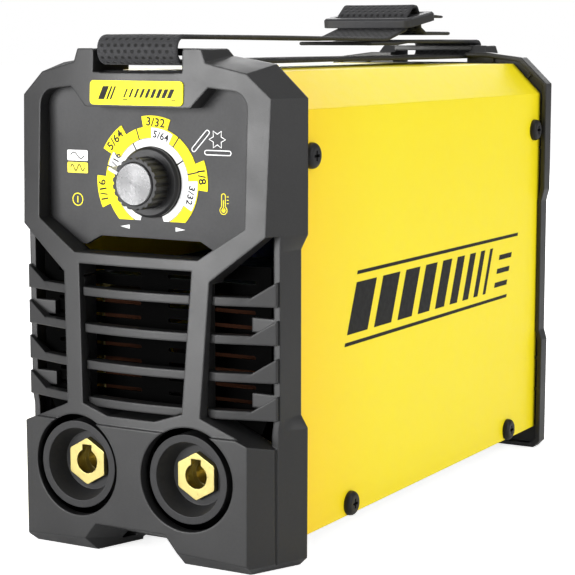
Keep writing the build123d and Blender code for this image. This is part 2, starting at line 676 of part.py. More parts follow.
# ---- power electronics --------------------------------------------------------------------------
def pillar_places():
    return [(x, y) for x in (-46.0, 46.0) for y in (-84.0, 78.0)]


def make_main_board():
    board = block(-51, 51, -90, 86, BOARD_Z, BOARD_Z + BOARD_THICK)
    for x, y in pillar_places():
        board -= rod_z(x, y, 1.7, BOARD_Z - 1, BOARD_Z + 4)
    return board


def make_board_pillars():
    pillars = []
    for x, y in pillar_places():
        post = extrude(Pos(x, y, TRAY_Z0 + TRAY_SHEET) * RegularPolygon(4.2, 6), amount=BOARD_Z - TRAY_Z0 - TRAY_SHEET)
        post -= rod_z(x, y, 1.5, TRAY_Z0, TRAY_Z0 + 10)
        pillars.append(post - rod_z(x, y, 1.5, BOARD_Z - 9, BOARD_Z + 1))
    return Compound(children=pillars)


def make_board_screws():
    screws = []
    top = BOARD_Z + BOARD_THICK
    for x, y in pillar_places():
        screws.append(rod_z(x, y, 2.9, top, top + 2.0) + rod_z(x, y, 1.45, top - 8, top + 0.5))
        low = TRAY_Z0
        screws.append(rod_z(x, y, 2.9, low - 1.8, low) + rod_z(x, y, 1.45, low - 0.5, low + 8))
    return Compound(children=screws)


def make_heatsink(side):
    """Extruded aluminium sink with its fins hanging in the air stream."""
    x0, x1 = (4.0, 40.0)
    sink = block(x0, x1, -16, 70, 84.0, 90.0)
    fins = 7
    pitch = (x1 - x0 - 2.0) / (fins - 1)
    for i in range(fins):
        left = x0 + i * pitch
        sink += block(left, left + 2.0, -16, 70, 36.0, 84.2)
    return sink if side > 0 else mirror(sink, about=Plane.YZ)


def package_row(side, count, y0, pitch):
    """Flat power packages on a heatsink, legs bent up to the board."""
    packs = []
    for i in range(count):
        y = y0 + i * pitch
        body = block(12, 32, y - 7.8, y + 7.8, 90.0, 95.0)
        for k in (-5.4, 0.0, 5.4):
            body += block(31.5, 36.0, y + k - 0.6, y + k + 0.6, 92.0, 92.8)
            body += block(35.2, 36.0, y + k - 0.6, y + k + 0.6, 92.0, BOARD_Z)
        packs.append(body if side > 0 else mirror(body, about=Plane.YZ))
    return Compound(children=packs)


def make_bulk_capacitors():
    top = BOARD_Z + BOARD_THICK
    cans = []
    for y in (-6.0, 27.0, 60.0):
        can = rod_z(-30, y, 14.8, top, top + 42)
        cans.append(fillet(can.faces().sort_by(Axis.Z)[-1].edges(), 1.5))
    return Compound(children=cans)


def make_bridge_rectifier():
    top = BOARD_Z + BOARD_THICK
    body = block(8, 36, 42, 70, top, top + 8)
    return chamfer(body.edges().filter_by(Axis.Z).sort_by(Axis.X)[-1], 3.0)


def make_relay():
    top = BOARD_Z + BOARD_THICK
    return fillet(block(8, 37, 8, 24, top, top + 25).edges().filter_by(Axis.Z), 0.8)


def make_emi_choke():
    top = BOARD_Z + BOARD_THICK
    return Pos(22, -14, top + 13.5) * Rot(0, 90, 0) * (Cylinder(13.2, 12) - Cylinder(5.0, 14))


def make_transformer_core():
    x, y, z = TRANSFORMER
    core = Pos(x, y, z) * Box(42, 44, 56)
    for dx in (-12.5, 12.5):
        core -= Pos(x + dx, y, z) * Box(9, 46, 36)
    return core


def make_transformer_winding():
    """Coil round the core's middle leg, bulging out of both faces."""
    x, y, z = TRANSFORMER
    coil = fillet(Box(32.4, 60, 34).edges().filter_by(Axis.Z), 7.0)
    coil -= Box(16.4, 44.4, 36)
    return Pos(x, y, z) * coil


def make_choke_core():
    x, y, z = CHOKE
    return Pos(x, y, z) * Rot(0, 90, 0) * (Cylinder(25, 15) - Cylinder(12, 17))


def make_choke_winding():
    """Heavy turns wound through the ring core, spaced round it."""
    x, y, z = CHOKE
    turns = None
    for i in range(10):
        loop = Pos(0, 18.5, 0) * (Box(22.4, 19.2, 4.4) - Box(15.2, 14.0, 6))
        loop = Rot(36 * i + 18, 0, 0) * loop
        turns = loop if turns is None else turns + loop
    return Pos(x, y, z) * turns


# ---- fan ----------------------------------------------------------------------------------------
def fan_screw_places():
    return [(x, FAN_Z + dz) for x in (-35.75, 35.75) for dz in (-35.75, 35.75)]


def make_fan_frame():
    frame = along_y(rounded(Pos(0, FAN_Z) * Rectangle(FAN_SIZE, FAN_SIZE), 3.0), FAN_Y0, FAN_Y1)
    frame -= rod_y(0, FAN_Z, FAN_BORE_R, FAN_Y0 - 1, FAN_Y1 + 1)
    for angle in (45, 135, 225, 315):
        strut = Pos(0, FAN_Y0 + 1.5, FAN_Z) * Rot(0, angle, 0) * Pos(27, 0, 0) * Box(26, 3, 3)
        frame += strut
    frame += rod_y(0, FAN_Z, 15.5, FAN_Y0, FAN_Y0 + 2.5)
    for x, z in fan_screw_places():
        frame -= rod_y(x, z, 2.0, FAN_Y0 - 1, FAN_Y1 + 1)
    return frame


def make_fan_motor():
    """Fixed coil pack and bearing tube under the rotor's hub."""
    y = FAN_Y0 + 2.5
    motor = rod_y(0, FAN_Z, 11.5, y, y + 10) + rod_y(0, FAN_Z, 3.2, y, y + 16)
    return motor - rod_y(0, FAN_Z, 1.55, y + 1, y + 18)


def make_fan_rotor():
    y = FAN_Y0 + 3.5
    hub = rod_y(0, FAN_Z, 14.5, y, y + 19)
    hub = fillet(hub.faces().sort_by(Axis.Y)[-1].edges(), 2.0)
    hub -= rod_y(0, FAN_Z, 12.6, y - 1, y + 16.2)
    hub += rod_y(0, FAN_Z, 1.5, y + 1.0, y + 17)
    blade = Pos(0, y + 9.5, FAN_Z + 25.0) * Rot(0, 0, 38) * Box(21, 1.4, 23.0)
    sweep = rod_y(0, FAN_Z, 36.8, y, y + 19.0) - rod_y(0, FAN_Z, 13.6, y - 1, y + 20)
    blade = blade & sweep
    axis = Axis((0, 0, FAN_Z), (0, 1, 0))
    for i in range(7):
        hub += blade.rotate(axis, 360 / 7 * i)
    return hub


def make_fan_guard():
    """Round finger guard outside the rear wall."""
    y0, y1 = REAR_WALL_Y, REAR_WALL_Y + 2.4
    guard = None
    for r in (8.0, 14.0, 20.0, 26.0, 32.0, 38.6):
        ring = along_y(Pos(0, FAN_Z) * (Circle(r + 0.9) - Circle(r - 0.9)), y0, y1)
        guard = ring if guard is None else guard + ring
    for angle in (45, 135, 225, 315):
        spoke = Pos(0, (y0 + y1) / 2, FAN_Z) * Rot(0, angle, 0) * Pos(28.5, 0, 0) * Box(45, y1 - y0, 3.0)
        guard += spoke
    for x, z in fan_screw_places():
        guard += rod_y(x, z, 5.0, y0, y1)
        guard -= rod_y(x, z, 2.1, y0 - 1, y1 + 1)
    return guard


def make_fan_screws():
    screws = []
    y = REAR_WALL_Y + 2.4
    for x, z in fan_screw_places():
        head = rod_y(x, z, 3.9, y, y + 2.2)
        head = fillet(head.faces().sort_by(Axis.Y)[-1].edges(), 1.2)
        head -= Pos(x, y + 2.2, z) * (Box(4, 2.4, 0.9) + Box(0.9, 2.4, 4))
        screws.append(head + rod_y(x, z, 1.95, y - 24, y + 0.2))
    return Compound(children=screws)


# ---- rear fittings ------------------------------------------------------------------------------
def make_switch_body():
    flange = block(SWITCH_X - 11, SWITCH_X + 11, REAR_WALL_Y, REAR_WALL_Y + 2.0, SWITCH_Z - 15.5, SWITCH_Z + 15.5)
    flange = fillet(flange.edges().filter_by(Axis.Y), 2.0)
    body = flange + block(SWITCH_X - 9.2, SWITCH_X + 9.2, 112.0, REAR_WALL_Y + 0.5, SWITCH_Z - 13.7,
                          SWITCH_Z + 13.7)
    body -= block(SWITCH_X - 6.6, SWITCH_X + 6.6, SWITCH_PIVOT_Y - 5.0, REAR_WALL_Y + 3, SWITCH_Z - 11.4,
                  SWITCH_Z + 11.4)
    body -= rod_x(SWITCH_PIVOT_Y, SWITCH_Z, 1.26, SWITCH_X - 7.6, SWITCH_X + 7.6)
    for z in (-8, 0, 8):
        body += block(SWITCH_X - 3.1, SWITCH_X + 3.1, 103.0, 112.2, SWITCH_Z + z - 0.4, SWITCH_Z + z + 0.4)
    return body


def make_switch_rocker():
    side = rounded(Rectangle(ROCKER_T, ROCKER_LEN), 0.9)
    rocker = along_x(Pos(SWITCH_PIVOT_Y + 0.9, SWITCH_Z) * side, SWITCH_X - 6.3, SWITCH_X + 6.3)
    rocker += rod_x(SWITCH_PIVOT_Y, SWITCH_Z, 1.2, SWITCH_X - 7.4, SWITCH_X + 7.4)
    return rocker.rotate(Axis((0, SWITCH_PIVOT_Y, SWITCH_Z), (1, 0, 0)), SWITCH_TILT)


def make_cable_gland():
    y = REAR_WALL_Y
    body = hexagon_y(GLAND_X, GLAND_Z, 17.0, y, y + 3.2)
    body += rod_y(GLAND_X, GLAND_Z, 7.4, y + 3.0, 139.8)
    body += rod_y(GLAND_X, GLAND_Z, 7.9, y - 12, y + 0.2)
    return body - rod_y(GLAND_X, GLAND_Z, GLAND_BORE_R, y - 14, 142)


def make_gland_nut():
    y = REAR_WALL_Y - 3.0
    nut = hexagon_y(GLAND_X, GLAND_Z, 20.0, y - 3.6, y)
    return nut - rod_y(GLAND_X, GLAND_Z, 7.95, y - 6, y + 1)


# ---- carrying strap -----------------------------------------------------------------------------
def strap_path():
    """Corners of the webbing's centre line in (y, z), with the bend radius at each inner corner."""
    front_r = (STRAP_TOP_Z - STRAP_LOW_Z) / 2
    rear_r = (STRAP_REAR_Z - STRAP_LOW_Z) / 2
    front_y = LOOP_FRONT_Y - front_r
    rear_y = LOOP_REAR_Y + rear_r
    sewn_end = (19.0, SEWN_Z)
    tail_end = (99.0, 194.4)
    bends = [
        ((47.0, SEWN_Z), 10.0), ((57.0, STRAP_REAR_Z), 10.0),
        ((rear_y, STRAP_REAR_Z), rear_r - 0.3), ((rear_y, STRAP_LOW_Z), rear_r - 0.3),
        ((front_y, STRAP_LOW_Z), front_r - 0.3), ((front_y, STRAP_TOP_Z), front_r - 0.3),
        ((36.0, 191.9), 15.0), ((54.7, 196.2), 1.6), ((54.2, 201.8), 1.6), ((60.4, 206.4), 3.0),
        ((64.4, 206.2), 1.6), ((67.7, 201.6), 1.6), ((68.3, 196.8), 1.6), ((74.0, 194.4), 3.0),
    ]
    return sewn_end, bends, tail_end


def ribbon_edge(start, bends, end, shift):
    """Lines and arcs running beside a bent path, shifted to its left."""
    points = [Vector(*start)] + [Vector(*point) for point, _ in bends] + [Vector(*end)]
    edges = []
    heading = (points[1] - points[0]).normalized()
    here = points[0] + left_of(heading) * shift
    for i, (_, radius) in enumerate(bends, 1):
        onward = (points[i + 1] - points[i]).normalized()
        turn = math.radians(heading.get_angle(onward))
        reach = radius * math.tan(turn / 2)
        inward = (onward - heading).normalized()
        middle = points[i] + inward * (radius / math.cos(turn / 2) - radius)
        enter = points[i] - heading * reach + left_of(heading) * shift
        crest = middle + left_of((heading + onward).normalized()) * shift
        leave = points[i] + onward * reach + left_of(onward) * shift
        edges.append(Line(here, enter))
        edges.append(ThreePointArc(enter, crest, leave))
        here = leave
        heading = onward
    edges.append(Line(here, points[-1] + left_of(heading) * shift))
    return edges


def left_of(heading):
    return Vector(-heading.Y, heading.X)


def make_carry_strap():
    upper = ribbon_edge(*strap_path(), STRAP_T / 2)
    lower = ribbon_edge(*strap_path(), -STRAP_T / 2)
    caps = [Line(upper[0] @ 0, lower[0] @ 0), Line(upper[-1] @ 1, lower[-1] @ 1)]
    return along_x(make_face(Wire(upper + lower + caps)), -STRAP_W / 2, STRAP_W / 2)


def make_strap_buckle():
    """Flat slider with two slots either side of a centre bar, tilted up to the rear."""
    outline = rounded(Rectangle(44.0, 28.0), 3.5)
    for y in (-6.6, 6.6):
        outline -= Pos(0, y) * rounded(Rectangle(36.6, 5.6), 0.8)
    plate = extrude(outline, amount=2.0, both=True)
    plate = chamfer(plate.faces().sort_by(Axis.Z)[-1].outer_wire().edges(), 0.8)
    return Pos(0, BUCKLE_Y, BUCKLE_Z) * Rot(BUCKLE_TILT, 0, 0) * plate


def make_buckle_tab():
    """Short sewn pull tab at the slider's rear edge."""
    return block(-STRAP_W / 2, STRAP_W / 2, 75.3, 91.2, 201.7, 202.9)


# ---- write the parts ----------------------------------------------------------------------------
def build():
    return {
        "front_cover": make_front_cover(),
        "louvre_grille": make_louvre_grille(),
        "rear_cover": make_rear_cover(),
        "housing_cover": make_housing_cover(),
        "base_tray": make_base_tray(),
        "cover_screws": make_cover_screws(),
        "tray_screws": make_tray_screws(),
        "front_plate": make_front_plate(),
        "front_plate_screws": make_front_plate_screws(),
        "control_panel": make_control_panel(),
        "dial_scale": make_dial_scale(),
        "range_marks": make_range_marks(),
        "label_plate": make_label_plate(),
        "status_leds": make_status_leds(),
        "control_board": make_control_board(),
        "knob_body": make_knob_body(),
        "knob_cap": make_knob_cap(),
        "knob_pointer": make_knob_pointer(),
        "pot_shaft": make_pot_shaft(),
        "pot_body": make_pot_body(),
        "pot_nut": make_pot_nut(),
        "socket_insulator_left": make_socket_insulator(-SOCKET_X),
        "socket_insulator_right": make_socket_insulator(SOCKET_X),
        "socket_contact_left": make_socket_contact(-SOCKET_X),
        "socket_contact_right": make_socket_contact(SOCKET_X),
        "socket_nuts": make_socket_nuts(),
        "bus_bars": make_bus_bars(),
        "main_board": make_main_board(),
        "board_pillars": make_board_pillars(),
        "board_screws": make_board_screws(),
        "heatsink_left": make_heatsink(-1),
        "heatsink_right": make_heatsink(1),
        "power_transistors": package_row(-1, 4, -4.0, 20.0),
        "output_diodes": package_row(1, 4, -4.0, 20.0),
        "bulk_capacitors": make_bulk_capacitors(),
        "bridge_rectifier": make_bridge_rectifier(),
        "relay": make_relay(),
        "emi_choke": make_emi_choke(),
        "transformer_core": make_transformer_core(),
        "transformer_winding": make_transformer_winding(),
        "choke_core": make_choke_core(),
        "choke_winding": make_choke_winding(),
        "fan_frame": make_fan_frame(),
        "fan_motor": make_fan_motor(),
        "fan_rotor": make_fan_rotor(),
        "fan_guard": make_fan_guard(),
        "fan_screws": make_fan_screws(),
        "switch_body": make_switch_body(),
        "switch_rocker": make_switch_rocker(),
        "cable_gland": make_cable_gland(),
        "gland_nut": make_gland_nut(),
        "carry_strap": make_carry_strap(),
        "strap_buckle": make_strap_buckle(),
        "buckle_tab": make_buckle_tab(),
    }


if __name__ == "__main__":
    os.makedirs("parts", exist_ok=True)
    for node, shape in build().items():
        export_step(shape, f"parts/{node}.step")
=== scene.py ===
import math

import bmesh
import bpy
from mathutils import Matrix, Vector
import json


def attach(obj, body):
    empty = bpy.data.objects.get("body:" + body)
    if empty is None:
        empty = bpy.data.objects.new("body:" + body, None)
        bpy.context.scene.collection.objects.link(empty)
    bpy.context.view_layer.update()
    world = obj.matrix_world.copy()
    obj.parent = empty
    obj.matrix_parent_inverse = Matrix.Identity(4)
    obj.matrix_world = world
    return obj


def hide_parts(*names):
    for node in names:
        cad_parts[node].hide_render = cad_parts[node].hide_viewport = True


MM = 0.001

# ---- places shared with the solid model, in millimetres -----------------------------------------
PANEL_Y = -124.2
DIAL_FRONT_Y = -124.5
KNOB_X, KNOB_Z = 1.2, 140.0
NOSE_Y = -135.0
NOSE_R = 319.0
LEAN_DEG = 2.8
LEAN_Z = 123.0
HOUSING_X = 57.0
STRAP_W = 35.0
STRAP_T = 1.6
PULL_TAB_T = 1.2
PLATE_SPLIT_Z = 146.5

# ---- sizes of the printed marks, in millimetres -------------------------------------------------
INK_LIFT = 0.04
SIDE_INK_LIFT = 0.05
PLATE_FRONT = 0.3
LABEL_SET_BACK = 0.66
DIAL_INNER_R = 16.2
DIAL_RIM = (16.0, 16.35)
DIAL_OUTER_R = 21.0
WHITE_TAB_R = 20.0
WHITE_TABS_DEG = ((62, 90), (-30, 3), (148, 165))
OUTER_DIVIDERS_DEG = (108.7, 54.0, 164.5, 12.0)
INNER_DIVIDERS_DEG = (120.0, 31.0, 190.0)
DIVIDER_W = 0.56
OUTER_TEXT_R, OUTER_TEXT_SIZE = 21.9, 4.4
INNER_TEXT_R, INNER_TEXT_SIZE = 17.4, 3.7
POWER_X, POWER_Z = -32.6, 132.2
THERMOMETER_X = 32.1
SIDE_LEAN = 0.4

# ---- camera and stage, in metres ----------------------------------------------------------------
CAMERA_PLACE = (0.3783, -0.6812, 0.1932)
CAMERA_DOWN_DEG = 7.84
CAMERA_TURN_DEG = 29.85
LENS_MM = 114.3
FLOOR_HALF = 9
FLOOR_Z = -0.0002
FILL_LEVEL = 0.30

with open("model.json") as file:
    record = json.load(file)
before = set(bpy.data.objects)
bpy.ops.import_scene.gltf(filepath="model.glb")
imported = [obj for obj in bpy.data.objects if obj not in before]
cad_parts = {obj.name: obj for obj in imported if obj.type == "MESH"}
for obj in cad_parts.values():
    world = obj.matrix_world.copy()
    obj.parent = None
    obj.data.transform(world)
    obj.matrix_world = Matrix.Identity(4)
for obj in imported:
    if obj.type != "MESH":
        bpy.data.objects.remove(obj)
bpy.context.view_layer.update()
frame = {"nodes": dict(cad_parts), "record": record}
nodes = frame["nodes"]
scene = bpy.context.scene


# ---- node helpers -------------------------------------------------------------------------------
class Shader:
    """A material's node tree with short calls for what the finishes below share."""

    def __init__(self, name):
        self.mat = bpy.data.materials.new(name)
        self.mat.use_nodes = True
        self.tree = self.mat.node_tree
        self.bsdf = self.tree.nodes["Principled BSDF"]
        self.coords = self.add("ShaderNodeTexCoord").outputs["Object"]

    def add(self, kind, **settings):
        node = self.tree.nodes.new(kind)
        for key, value in settings.items():
            setattr(node, key, value)
        return node

    def feed(self, socket, value):
        if isinstance(value, bpy.types.NodeSocket):
            self.tree.links.new(value, socket)
        elif isinstance(value, tuple) and len(value) == 3 and len(socket.default_value) == 4:
            socket.default_value = (*value, 1.0)
        else:
            socket.default_value = value

    def set(self, **values):
        for key, value in values.items():
            self.feed(self.bsdf.inputs[key.replace("_", " ")], value)

    def math(self, op, a, b=0.0, c=None, clamp=False):
        node = self.add("ShaderNodeMath", operation=op, use_clamp=clamp)
        self.feed(node.inputs[0], a)
        self.feed(node.inputs[1], b)
        if c is not None:
            self.feed(node.inputs[2], c)
        return node.outputs[0]

    def mix(self, factor, a, b, blend="MIX"):
        node = self.add("ShaderNodeMix", data_type="RGBA", blend_type=blend)
        self.feed(node.inputs["Factor"], factor)
        self.feed(node.inputs[6], a)
        self.feed(node.inputs[7], b)
        return node.outputs[2]

    def ramp(self, value, low, high, to_low=0.0, to_high=1.0):
        node = self.add("ShaderNodeMapRange")
        self.feed(node.inputs["Value"], value)
        limits = {"From Min": low, "From Max": high, "To Min": to_low, "To Max": to_high}
        for key, limit in limits.items():
            node.inputs[key].default_value = limit
        return node.outputs[0]

    def scaled(self, x=1.0, y=1.0, z=1.0):
        node = self.add("ShaderNodeMapping")
        self.feed(node.inputs["Vector"], self.coords)
        node.inputs["Scale"].default_value = (x, y, z)
        return node.outputs[0]

    def noise(self, scale, detail=3.0, rough=0.55, source=None):
        node = self.add("ShaderNodeTexNoise")
        self.feed(node.inputs["Vector"], source or self.coords)
        node.inputs["Scale"].default_value = scale
        node.inputs["Detail"].default_value = detail
        node.inputs["Roughness"].default_value = rough
        return node.outputs["Fac"]

    def cells(self, scale, feature="F1"):
        node = self.add("ShaderNodeTexVoronoi", feature=feature)
        self.feed(node.inputs["Vector"], self.coords)
        node.inputs["Scale"].default_value = scale
        return node.outputs["Distance"]

    def axes(self, source=None):
        node = self.add("ShaderNodeSeparateXYZ")
        self.feed(node.inputs[0], source or self.coords)
        return node.outputs

    def bump(self, height, distance, strength=1.0, normal=None):
        node = self.add("ShaderNodeBump")
        node.inputs["Strength"].default_value = strength
        node.inputs["Distance"].default_value = distance
        self.feed(node.inputs["Height"], height)
        if normal is not None:
            self.feed(node.inputs["Normal"], normal)
        return node.outputs[0]

    def soft_edges(self, radius):
        node = self.add("ShaderNodeBevel", samples=6)
        node.inputs["Radius"].default_value = radius
        return node.outputs[0]

    def around_knob(self):
        """Distance from the knob's axis, the angle about it in radians, and the two offsets."""
        xyz = self.axes()
        dx = self.math("SUBTRACT", xyz["X"], KNOB_X * MM)
        dz = self.math("SUBTRACT", xyz["Z"], KNOB_Z * MM)
        squares = self.math("ADD", self.math("MULTIPLY", dx, dx), self.math("MULTIPLY", dz, dz))
        return self.math("SQRT", squares), self.math("ARCTAN2", dz, dx), dx, dz

    def edge_mask(self, radius, low=0.75, high=0.995):
        """1 on the outer edges and corners of a solid, 0 on its faces."""
        true_normal = self.add("ShaderNodeNewGeometry").outputs["Normal"]
        node = self.add("ShaderNodeVectorMath", operation="DOT_PRODUCT")
        self.feed(node.inputs[0], self.soft_edges(radius))
        self.feed(node.inputs[1], true_normal)
        return self.ramp(node.outputs["Value"], high, low)


# ---- finishes -----------------------------------------------------------------------------------
def moulding(name, base, rough=0.5, edge=0.8 * MM, grain=0.05 * MM, highlight_and_wear=0.55, shine=0.2):
    """Moulded plastic: eroded grain, faint tone drift, softened and slightly polished edges, lighter
    in colour along the edges, partly wear and partly a painted highlight.
    """
    s = Shader(name)
    drift = s.ramp(s.noise(22.0, 4.0), 0.3, 0.7, 0.9, 1.1)
    grain_map = s.cells(2600.0)
    speck = s.ramp(s.noise(900.0, 2.0), 0.35, 0.65, 0.94, 1.06)
    tone = s.math("MULTIPLY", drift, speck)
    colour = s.mix(1.0, base, s.mix(1.0, (1, 1, 1), tone, "MULTIPLY"), "MULTIPLY")
    # edges lighter in patches: partly wear, partly a painted highlight along the edges
    highlight_and_wear_patches = s.ramp(s.noise(140.0, 3.0), 0.3, 0.6, 0.55, 1.0)
    highlight_and_wear_mask = s.math("MULTIPLY", s.edge_mask(edge), highlight_and_wear_patches)
    highlit_and_worn_edge = tuple(min(1.0, c * (1 + highlight_and_wear) + 0.01) for c in base)
    s.set(Base_Color=s.mix(highlight_and_wear_mask, colour, highlit_and_worn_edge))
    uneven = s.ramp(s.noise(60.0), 0.3, 0.7, rough - 0.04, rough + 0.05)
    s.set(Roughness=s.math("SUBTRACT", uneven, s.math("MULTIPLY", highlight_and_wear_mask, 0.1)))
    s.set(Normal=s.bump(grain_map, grain, 0.35, s.soft_edges(edge)))
    s.set(IOR=1.5, Specular_IOR_Level=shine)
    return s.mat


def paint(name, base, shade):
    """Powder coat on folded sheet: orange peel, soft sheen, painted shade that turns the colour darker
    and more orange toward the front cover, and faint random tone.
    """
    s = Shader(name)
    y = s.axes()["Y"]
    # painted shade: the colour turns darker and more orange toward the front cover
    front = s.ramp(y, -0.112, -0.035, 1.0, 0.0)
    front = s.math("POWER", front, 1.6)
    cloud = s.ramp(s.noise(9.0, 3.0), 0.35, 0.7, 0.0, 0.06)
    front_shade_and_tone = s.math("ADD", s.math("MULTIPLY", front, 0.6), cloud, clamp=True)
    s.set(Base_Color=s.mix(front_shade_and_tone, base, shade))
    s.set(Roughness=s.ramp(s.noise(180.0, 3.0), 0.3, 0.7, 0.34, 0.44))
    peel = s.noise(1500.0, 2.0)
    s.set(Normal=s.bump(peel, 0.02 * MM, 0.5, s.soft_edges(0.5 * MM)))
    s.set(Specular_IOR_Level=0.25, Coat_Weight=0.03, Coat_Roughness=0.25)
    return s.mat


def metal(name, base, rough=0.3, stretch=(1.0, 1.0, 1.0), line_scale=1400.0, edge=0.15 * MM,
          stain=0.12):
    """Bare or plated metal with drawn or turned lines and slightly uneven tarnish."""
    s = Shader(name)
    lines = s.noise(line_scale, 3.0, 0.6, s.scaled(*stretch))
    tarnish = s.ramp(s.noise(120.0, 4.0), 0.35, 0.7, 0.0, stain)
    dark = tuple(c * 0.55 for c in base)
    s.set(Metallic=1.0, Base_Color=s.mix(tarnish, base, dark))
    s.set(Roughness=s.ramp(lines, 0.3, 0.7, rough - 0.07, rough + 0.1))
    s.set(Normal=s.bump(lines, 0.02 * MM, 0.4, s.soft_edges(edge)))
    return s.mat


def spun(name, base):
    """Aluminium faced on a lathe: fine rings about the knob's axis and two darker sectors, a painted
    reflection of the turned face.
    """
    s = Shader(name)
    radius, angle, _, _ = s.around_knob()
    rings = s.math("SINE", s.math("MULTIPLY", radius, 2 * math.pi / (0.35 * MM)))
    # painted reflection: two darker sectors about the knob's axis
    painted_reflection_sectors = s.math("SINE", s.math("MULTIPLY_ADD", angle, 2.0, 0.6))
    dark = tuple(c * 0.72 for c in base)
    s.set(Metallic=1.0, Base_Color=s.mix(s.ramp(painted_reflection_sectors, -1, 1), base, dark))
    s.set(Roughness=s.ramp(s.noise(900.0), 0.3, 0.7, 0.24, 0.36))
    s.set(Normal=s.bump(rings, 0.015 * MM, 0.6, s.soft_edges(0.12 * MM)))
    return s.mat


def print_film(name, base, lower=None, split_z=0.0, rough=0.42):
    """Screen-printed foil, optionally in a second colour below a height."""
    s = Shader(name)
    mottle = s.ramp(s.noise(700.0, 3.0), 0.3, 0.7, 0.0, 0.1)
    colour = base
    if lower:
        colour = s.mix(s.math("LESS_THAN", s.axes()["Z"], split_z), base, lower)
    s.set(Base_Color=s.mix(mottle, colour, tuple(c * 0.8 for c in base)))
    s.set(Roughness=s.ramp(s.noise(300.0), 0.3, 0.7, rough - 0.05, rough + 0.06))
    s.set(Normal=s.bump(s.noise(2400.0, 2.0), 0.01 * MM, 0.4), Specular_IOR_Level=0.2)
    return s.mat


def dial_film(name, yellow, white, line_colour):
    """The knob's scale: white inner ring, yellow outer ring with tabs, dark dividers."""
    s = Shader(name)
    radius, angle, dx, dz = s.around_knob()
    degrees = s.math("MULTIPLY", angle, 180 / math.pi)

    def between(value, low, high):
        above = s.math("GREATER_THAN", value, low)
        return s.math("MULTIPLY", above, s.math("LESS_THAN", value, high))

    def most(parts):
        total = parts[0]
        for part in parts[1:]:
            total = s.math("MAXIMUM", total, part)
        return total

    inner = s.math("LESS_THAN", radius, DIAL_INNER_R * MM)
    white_tabs = most([between(degrees, low, high) for low, high in WHITE_TABS_DEG])
    white_tabs = s.math("MULTIPLY", white_tabs, s.math("LESS_THAN", radius, WHITE_TAB_R * MM))
    pale = s.math("MAXIMUM", inner, white_tabs)

    def divider(turn, low, high):
        """A radial line at one angle, between two radii."""
        cos, sin = math.cos(math.radians(turn)), math.sin(math.radians(turn))
        off_line = s.math("SUBTRACT", s.math("MULTIPLY", dx, sin), s.math("MULTIPLY", dz, cos))
        on_line = s.math("LESS_THAN", s.math("ABSOLUTE", off_line), DIVIDER_W / 2 * MM)
        along = s.math("ADD", s.math("MULTIPLY", dx, cos), s.math("MULTIPLY", dz, sin))
        return s.math("MULTIPLY", on_line, between(along, low * MM, high * MM))

    lines = [divider(turn, DIAL_INNER_R, DIAL_OUTER_R) for turn in OUTER_DIVIDERS_DEG]
    lines += [divider(turn, 12.0, DIAL_INNER_R) for turn in INNER_DIVIDERS_DEG]
    rim = between(radius, DIAL_RIM[0] * MM, DIAL_RIM[1] * MM)
    rim = s.math("MULTIPLY", rim, s.math("SUBTRACT", 1.0, white_tabs))
    ink_mask = s.math("MAXIMUM", most(lines), s.math("MULTIPLY", rim, 0.75))
    colour = s.mix(ink_mask, s.mix(pale, yellow, white), line_colour)
    s.set(Base_Color=s.mix(s.ramp(s.noise(700.0), 0.3, 0.7, 0.0, 0.06), colour, line_colour))
    s.set(Roughness=s.ramp(s.noise(300.0), 0.3, 0.7, 0.5, 0.62), Specular_IOR_Level=0.12)
    s.set(Normal=s.bump(s.noise(2400.0, 2.0), 0.01 * MM, 0.4))
    return s.mat


def ink(name, base=(0.012, 0.012, 0.012), rough=0.45):
    """Printed ink with slightly uneven cover."""
    s = Shader(name)
    cover = s.ramp(s.noise(650.0, 3.0), 0.35, 0.65, 0.0, 0.3)
    s.set(Base_Color=s.mix(cover, base, tuple(c * 0.8 + 0.012 for c in base)))
    s.set(Roughness=s.ramp(s.noise(420.0), 0.3, 0.7, rough - 0.06, rough + 0.08))
    s.set(Specular_IOR_Level=0.1)
    s.set(Normal=s.bump(s.noise(2600.0), 0.008 * MM, 0.4))
    return s.mat


